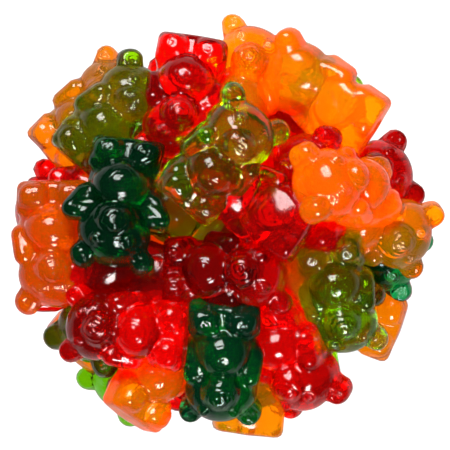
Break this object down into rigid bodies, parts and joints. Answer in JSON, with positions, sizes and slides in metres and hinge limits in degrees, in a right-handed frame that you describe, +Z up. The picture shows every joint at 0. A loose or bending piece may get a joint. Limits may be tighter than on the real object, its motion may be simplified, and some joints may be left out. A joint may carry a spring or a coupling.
{
  "type": "bowl of gummy bears",
  "caption": "Small round white bowl heaped over its rim with clear gummy bears in red, orange, lime and dark green.",
  "frame": {"origin": "centre of the bowl's flat foot, on the surface it stands on", "axes": "+Z up out of the bowl, +Y towards the back of the heap, +X to its right"},
  "size_m": [0.0736, 0.0727, 0.0591],
  "materials": {
    "gummy_red": "gloss",
    "gummy_orange": "gloss",
    "gummy_lime": "gloss",
    "gummy_green": "gloss",
    "glazed_white": "gloss"
  },
  "bodies": {
    "root": {"bowl": "glazed_white", "bear_heap": "gummy_red"}
  },
  "joints": []
}
